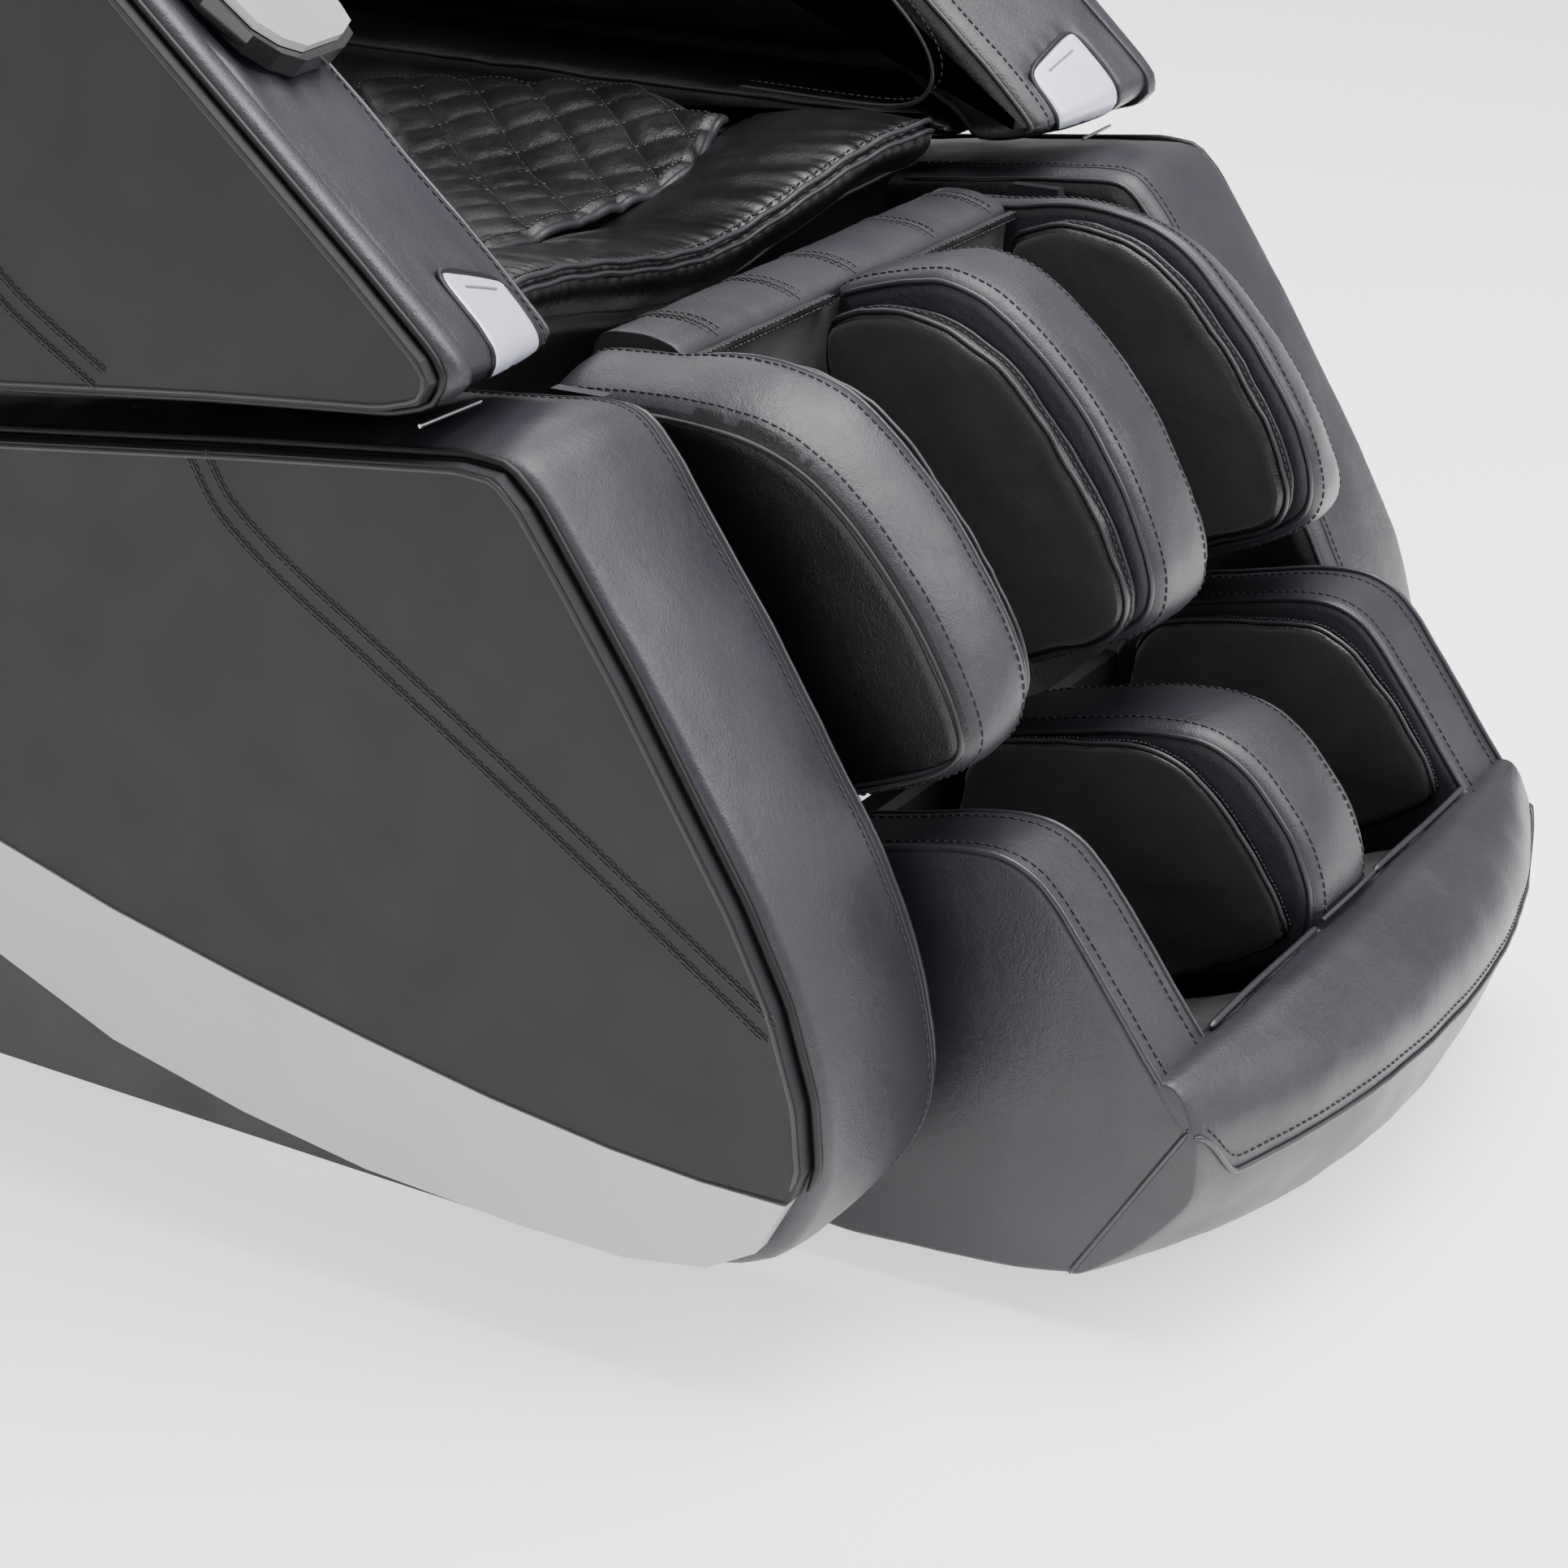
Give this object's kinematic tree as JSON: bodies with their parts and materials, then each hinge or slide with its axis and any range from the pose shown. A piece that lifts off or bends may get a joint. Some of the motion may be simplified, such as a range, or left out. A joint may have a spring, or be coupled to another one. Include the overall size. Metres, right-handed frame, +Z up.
{
  "type": "massage chair",
  "caption": "Reclining full-body massage chair with side pods, sloping padded arms, a quilted seat, and a lifting legrest with calf wells and an extending footrest.",
  "frame": {"origin": "floor level, under the middle of the bounding box", "axes": "+Z up, -Y the way the sitter faces, X lateral"},
  "size_m": [0.81, 1.61, 1.2707],
  "materials": {
    "grey_leather": "satin, fine grain",
    "black_leather": "satin, fine grain",
    "black_fabric": "matt knit",
    "side_panel": "matt, smooth leather-look skin",
    "silver_trim": "satin silver",
    "cap_silver": "satin silver",
    "black_shell": "fine texture",
    "gloss_black": "gloss",
    "frame_steel": "semi-gloss black paint",
    "shaft_steel": "bright",
    "foot_rubber": "matt",
    "roller_polymer": "matt"
  },
  "bodies": {
    "base": {"base_frame": "frame_steel", "rear_housing": "black_shell", "tilt_shaft": "frame_steel", "base_cover_R": "black_shell", "base_cover_L": "black_shell", "pod_shell_R": "grey_leather", "pod_shell_L": "grey_leather", "pod_panel_R": "side_panel", "pod_panel_L": "side_panel", "swoosh_trim_R": "silver_trim", "swoosh_trim_L": "silver_trim", "leveling_foot_R": "foot_rubber", "leveling_foot_L": "foot_rubber"},
    "caster_R": {"caster_wheel_R": "foot_rubber"},
    "caster_L": {"caster_wheel_L": "foot_rubber"},
    "switch": {"rocker_switch": "gloss_black"},
    "seat": {"seat_frame": "frame_steel", "seat_cushion": "black_leather", "seat_quilt_pad": "black_leather", "seat_front_pillow": "black_leather", "arm_shell_R": "black_shell", "arm_shell_L": "black_shell", "arm_panel_R": "side_panel", "arm_panel_L": "side_panel", "arm_top_R": "grey_leather", "arm_top_L": "grey_leather", "arm_lower_pad_R": "black_leather", "arm_lower_pad_L": "black_leather", "arm_cap_R": "cap_silver", "arm_cap_L": "cap_silver", "control_pad_base": "gloss_black", "control_pad_cover": "silver_trim", "legrest_shaft": "shaft_steel", "back_shaft": "frame_steel"},
    "backrest": {"back_rail_R": "frame_steel", "back_rail_L": "frame_steel", "back_shell": "black_shell", "back_pad": "black_leather", "head_pillow": "black_leather", "shoulder_bolster_R": "black_leather", "shoulder_bolster_L": "black_leather"},
    "carriage": {"massage_carriage": "frame_steel"},
    "back_roller_R": {"massage_roller_R": "roller_polymer"},
    "back_roller_L": {"massage_roller_L": "roller_polymer"},
    "legrest": {"calf_wall_R": "grey_leather", "calf_wall_L": "grey_leather", "calf_divider": "grey_leather", "calf_back": "grey_leather", "calf_airbag_outer_R": "black_fabric", "calf_airbag_outer_L": "black_fabric", "calf_airbag_inner_R": "black_fabric", "calf_airbag_inner_L": "black_fabric"},
    "footrest": {"foot_side_R": "grey_leather", "foot_side_L": "grey_leather", "foot_divider": "grey_leather", "toe_panel": "grey_leather", "foot_sole": "black_fabric", "foot_base": "black_shell"},
    "sole_roller_R": {"foot_roller_R": "roller_polymer"},
    "sole_roller_L": {"foot_roller_L": "roller_polymer"}
  },
  "joints": [
    {"name": "seat_tilt", "type": "hinge", "parent": "base", "child": "seat", "pos_m": [0, 0.3, 0.3], "axis": [-1, 0, 0], "range_deg": [0, 15]},
    {"name": "backrest_recline", "type": "hinge", "parent": "seat", "child": "backrest", "pos_m": [0, 0.215, 0.38], "axis": [-1, 0, 0], "range_deg": [0, 42]},
    {"name": "legrest_lift", "type": "hinge", "parent": "seat", "child": "legrest", "pos_m": [0, -0.41, 0.445], "axis": [-1, 0, 0], "range_deg": [0, 75]},
    {"name": "footrest_extend", "type": "slide", "parent": "legrest", "child": "footrest", "axis": [0, -0.4226, -0.9063], "range_m": [0, 0.12]},
    {"name": "carriage_travel", "type": "slide", "parent": "backrest", "child": "carriage", "axis": [0, 0.5, 0.866], "range_m": [-0.24, 0.24]},
    {"name": "back_roller_R_spin", "type": "hinge", "parent": "carriage", "child": "back_roller_R", "pos_m": [-0.086, 0.41806, 0.7997], "axis": [1, 0, 0], "continuous": true},
    {"name": "back_roller_L_spin", "type": "hinge", "parent": "carriage", "child": "back_roller_L", "pos_m": [0.086, 0.41806, 0.7997], "axis": [1, 0, 0], "continuous": true},
    {"name": "sole_roller_R_spin", "type": "hinge", "parent": "footrest", "child": "sole_roller_R", "pos_m": [-0.12, -0.64, 0.052], "axis": [1, 0, 0], "continuous": true},
    {"name": "sole_roller_L_spin", "type": "hinge", "parent": "footrest", "child": "sole_roller_L", "pos_m": [0.12, -0.64, 0.052], "axis": [1, 0, 0], "continuous": true},
    {"name": "caster_R_spin", "type": "hinge", "parent": "base", "child": "caster_R", "pos_m": [-0.227, 0.44, 0.036], "axis": [1, 0, 0], "continuous": true},
    {"name": "caster_L_spin", "type": "hinge", "parent": "base", "child": "caster_L", "pos_m": [0.227, 0.44, 0.036], "axis": [1, 0, 0], "continuous": true},
    {"name": "rocker_switch_rock", "type": "hinge", "parent": "base", "child": "switch", "pos_m": [-0.06, 0.466, 0.19], "axis": [1, 0, 0], "range_deg": [0, 12]}
  ],
  "couplings": [
    {"joint": "footrest_extend", "follows": "legrest_lift", "m_per_rad": 0.091582}
  ]
}
